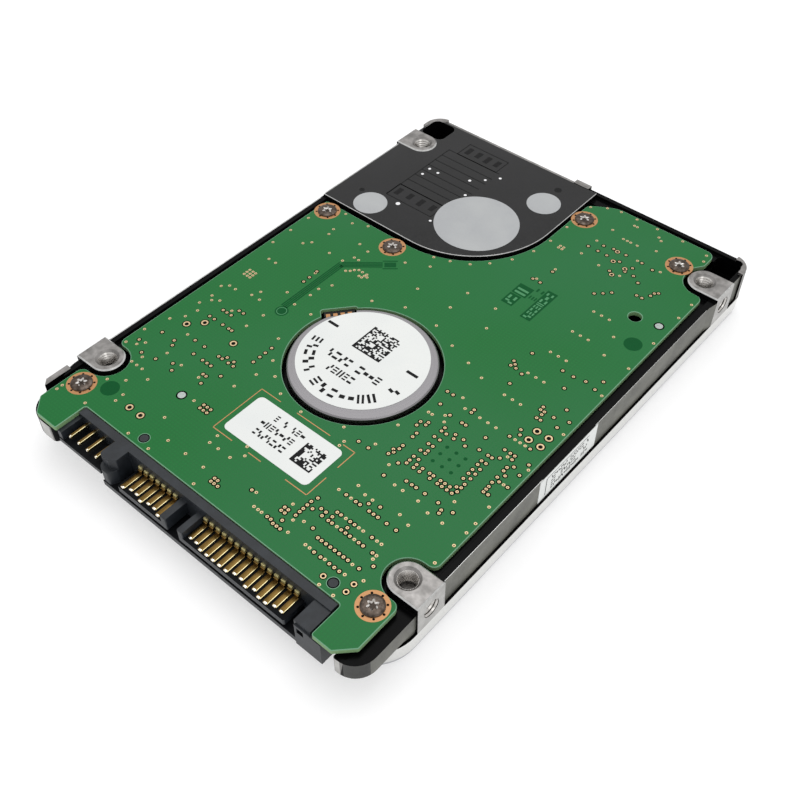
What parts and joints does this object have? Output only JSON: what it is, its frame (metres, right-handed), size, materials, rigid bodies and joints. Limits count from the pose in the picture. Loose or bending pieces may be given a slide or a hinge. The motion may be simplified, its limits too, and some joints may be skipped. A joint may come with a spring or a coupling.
{
  "type": "hard disk drive",
  "caption": "Laptop-size hard disk drive lying on its cover: black casting, green circuit board, edge plug, sealed disc stack, swinging head arm and parking latch.",
  "frame": {"origin": "centre of the outside box, on the outer face of the cover, which is what the drive lies on", "axes": "+Z from the cover to the mounting plane and the circuit board, +Y along the length away from the plug, +X across the width, to the right when the plug is nearest"},
  "size_m": [0.0698, 0.1004, 0.0095],
  "materials": {
    "black_ecoat": "gloss e-coat on die-cast aluminium",
    "cover_metal": "brushed sheet",
    "machined_aluminium": "fine turned",
    "screw_steel": "bright zinc",
    "solder_mask": "green solder mask on fibreglass",
    "chip_resin": "moulded resin",
    "housing_plastic": "moulded, slightly satin",
    "gold_contact": "gold plated",
    "sticker_white": "printed film",
    "sticker_grey": "foil-faced film",
    "rubber_black": "smooth",
    "copper_wire": "enamelled copper",
    "magnet_nickel": "nickel plated",
    "electrical_steel": "stacked sheet",
    "platter_mirror": "polished",
    "polyimide": "amber film",
    "white_plastic": "moulded",
    "filter_fibre": "non-woven",
    "ceramic_black": "polished ceramic"
  },
  "bodies": {
    "casing": {"base_casting": "black_ecoat", "top_cover": "cover_metal", "cover_label": "sticker_white", "cover_gasket": "rubber_black", "cover_screws": "screw_steel", "circuit_board": "solder_mask", "board_screws": "screw_steel", "controller_chip": "chip_resin", "memory_chips": "chip_resin", "motor_driver_chip": "chip_resin", "board_passives": "chip_resin", "sata_housing": "housing_plastic", "signal_contacts": "gold_contact", "power_contacts": "gold_contact", "jumper_pins": "gold_contact", "head_connector": "housing_plastic", "connector_springs": "gold_contact", "flex_bracket": "electrical_steel", "flex_cable": "polyimide", "motor_bracket": "machined_aluminium", "bearing_sleeve": "gold_contact", "thrust_plate": "screw_steel", "stator_core": "electrical_steel", "stator_coils": "copper_wire", "motor_flex": "copper_wire", "pivot_shaft": "screw_steel", "pivot_screw": "screw_steel", "lower_yoke": "magnet_nickel", "upper_yoke": "magnet_nickel", "lower_magnet": "magnet_nickel", "upper_magnet": "magnet_nickel", "yoke_posts": "screw_steel", "yoke_screws": "screw_steel", "crash_stops": "rubber_black", "latch_pin": "screw_steel", "load_ramp": "white_plastic", "ramp_screw": "screw_steel", "recirculation_filter": "filter_fibre", "desiccant_pack": "white_plastic", "breather_filter": "filter_fibre", "motor_label": "sticker_white", "board_label": "sticker_white", "side_label": "sticker_white", "seal_stickers": "sticker_grey"},
    "rotor": {"spindle_hub": "machined_aluminium", "spindle_shaft": "screw_steel", "rotor_magnet": "magnet_nickel", "platter_lower": "platter_mirror", "platter_upper": "platter_mirror", "platter_spacer": "machined_aluminium", "disc_clamp": "machined_aluminium", "clamp_screws": "screw_steel"},
    "actuator": {"arm_block": "machined_aluminium", "pivot_bearing": "screw_steel", "voice_coil": "copper_wire", "coil_frame": "housing_plastic", "head_suspensions": "screw_steel", "head_sliders": "ceramic_black", "preamp_chip": "chip_resin"},
    "latch": {"latch_lever": "housing_plastic"}
  },
  "joints": [
    {"name": "spindle_spin", "type": "hinge", "parent": "casing", "child": "rotor", "pos_m": [0, -0.0108, 0.005], "axis": [0, 0, 1], "continuous": true},
    {"name": "actuator_swing", "type": "hinge", "parent": "casing", "child": "actuator", "pos_m": [-0.00773, 0.02782, 0.0034], "axis": [0, 0, 1], "range_deg": [-36, 0], "deforming": ["flex_cable"]},
    {"name": "latch_swing", "type": "hinge", "parent": "casing", "child": "latch", "pos_m": [-0.0306, 0.0249, 0.0034], "axis": [0, 0, 1], "range_deg": [0, 12]}
  ]
}
